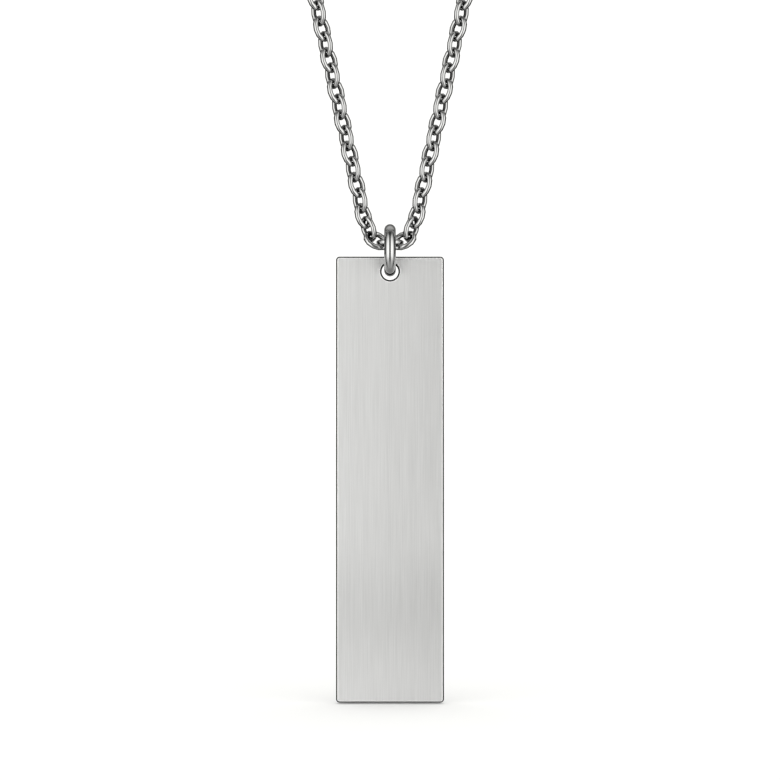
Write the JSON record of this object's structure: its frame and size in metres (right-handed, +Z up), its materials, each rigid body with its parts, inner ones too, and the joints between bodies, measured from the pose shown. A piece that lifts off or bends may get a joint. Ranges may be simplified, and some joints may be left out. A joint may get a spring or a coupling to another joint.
{
  "type": "tag necklace",
  "caption": "Flat rectangular bar tag hanging by a round bail ring from a fine cable chain that closes with a plain clasp.",
  "frame": {"origin": "middle of the top of the loop, on the clasp's own line between the two jump rings, where the necklace hangs", "axes": "+Z up, along the tag's height; +Y to the back, along the tag's thickness; +X to the right, along the tag's width"},
  "size_m": [0.0756, 0.0058, 0.2491],
  "materials": {
    "tag": "steel brushed lengthwise, with a bright bevel",
    "bail_ring": "polished steel wire",
    "chain": "polished steel wire",
    "clasp": "polished steel"
  },
  "bodies": {
    "chain": {"chain_left": "chain", "chain_right": "chain", "jump_ring_left": "clasp", "jump_ring_right": "clasp", "clasp": "clasp"},
    "ring": {"bail_ring": "bail_ring"},
    "tag": {"tag": "tag"}
  },
  "joints": [
    {"name": "ring_swing", "type": "hinge", "parent": "chain", "child": "ring", "pos_m": [0, 0, -0.1968], "axis": [1, 0, 0], "range_deg": [-30, 40]},
    {"name": "tag_sway", "type": "hinge", "parent": "ring", "child": "tag", "pos_m": [0, 0, -0.19907], "axis": [0, 1, 0], "range_deg": [-8, 8]}
  ]
}
